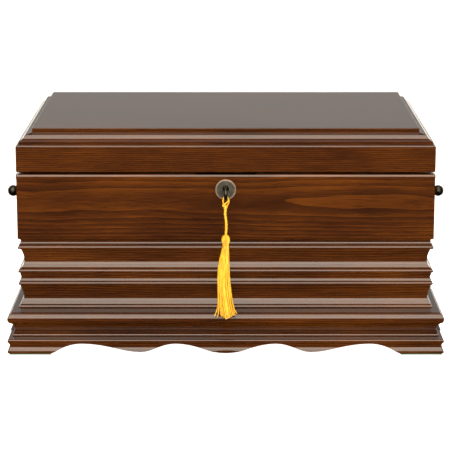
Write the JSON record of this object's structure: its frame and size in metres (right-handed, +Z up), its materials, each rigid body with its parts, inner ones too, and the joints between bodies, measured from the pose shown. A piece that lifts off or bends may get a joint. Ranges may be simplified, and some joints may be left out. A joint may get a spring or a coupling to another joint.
{
  "type": "wooden chest",
  "caption": "Lacquered wooden keepsake chest with a hinged lid, moulded waist and plinth, drop handles, and a lock whose key carries a tassel.",
  "frame": {"origin": "on the floor, under the middle of the outline measured without the tassel", "axes": "+X towards the chest's right hand end, +Y towards its back, +Z up"},
  "size_m": [0.46, 0.3119, 0.2295],
  "materials": {
    "lacquered_wood": "reddish brown stain under semi-gloss lacquer",
    "raw_wood": "unfinished pale wood",
    "felt": "dense wool felt",
    "brass": "satin, lightly tarnished",
    "steel": "zinc plated, satin",
    "pewter": "dark antique pewter, worn bright on the edges",
    "tassel_thread": "glossy golden yellow rayon thread"
  },
  "bodies": {
    "chest": {"front_board": "lacquered_wood", "back_board": "lacquered_wood", "left_board": "lacquered_wood", "right_board": "lacquered_wood", "waist_front": "lacquered_wood", "waist_back": "lacquered_wood", "waist_left": "lacquered_wood", "waist_right": "lacquered_wood", "plinth_front": "lacquered_wood", "plinth_back": "lacquered_wood", "plinth_left": "lacquered_wood", "plinth_right": "lacquered_wood", "bottom_board": "raw_wood", "floor_lining": "felt", "corner_blocks": "raw_wood", "foot_pads": "felt", "hinge_left_body_leaf": "brass", "hinge_right_body_leaf": "brass", "hinge_pins": "steel", "hinge_body_screws": "brass", "lock_case": "brass", "lock_screws": "brass", "escutcheon": "pewter", "left_handle_posts": "pewter", "right_handle_posts": "pewter", "left_handle_nuts": "steel", "right_handle_nuts": "steel"},
    "lid": {"lid_top": "lacquered_wood", "lid_front_rail": "lacquered_wood", "lid_back_rail": "lacquered_wood", "lid_left_rail": "lacquered_wood", "lid_right_rail": "lacquered_wood", "hinge_left_lid_leaf": "brass", "hinge_right_lid_leaf": "brass", "hinge_lid_screws": "brass", "lock_strike": "brass", "strike_screws": "brass"},
    "lock_cam": {"lock_cam": "steel"},
    "bolt": {"lock_bolt": "steel"},
    "key": {"key": "pewter"},
    "tassel": {"tassel_loop": "tassel_thread", "tassel_cord": "tassel_thread", "tassel_head": "tassel_thread", "tassel_skirt": "tassel_thread"},
    "left_bail": {"left_bail": "pewter"},
    "right_bail": {"right_bail": "pewter"}
  },
  "joints": [
    {"name": "lid_hinge", "type": "hinge", "parent": "chest", "child": "lid", "pos_m": [0, 0.1474, 0.186], "axis": [-1, 0, 0], "range_deg": [0, 95]},
    {"name": "key_turn", "type": "hinge", "parent": "chest", "child": "lock_cam", "pos_m": [0, -0.12, 0.1695], "axis": [0, 1, 0], "range_deg": [0, 90]},
    {"name": "bolt_slide", "type": "slide", "parent": "chest", "child": "bolt", "axis": [1, 0, 0], "range_m": [0, 0.0085]},
    {"name": "key_pull", "type": "slide", "parent": "lock_cam", "child": "key", "axis": [0, -1, 0], "range_m": [0, 0.03]},
    {"name": "tassel_hang", "type": "hinge", "parent": "key", "child": "tassel", "pos_m": [0, -0.149, 0.1642], "axis": [0, 1, 0], "range_deg": [-90, 0]},
    {"name": "left_bail_swing", "type": "hinge", "parent": "chest", "child": "left_bail", "pos_m": [-0.2182, 0.008, 0.1485], "axis": [0, 1, 0], "range_deg": [-6, 100]},
    {"name": "right_bail_swing", "type": "hinge", "parent": "chest", "child": "right_bail", "pos_m": [0.2182, 0.008, 0.1485], "axis": [0, -1, 0], "range_deg": [-6, 100]}
  ],
  "couplings": [
    {"joint": "bolt_slide", "follows": "key_turn", "m_per_rad": 0.005402},
    {"joint": "tassel_hang", "follows": "key_turn", "ratio": -1}
  ]
}
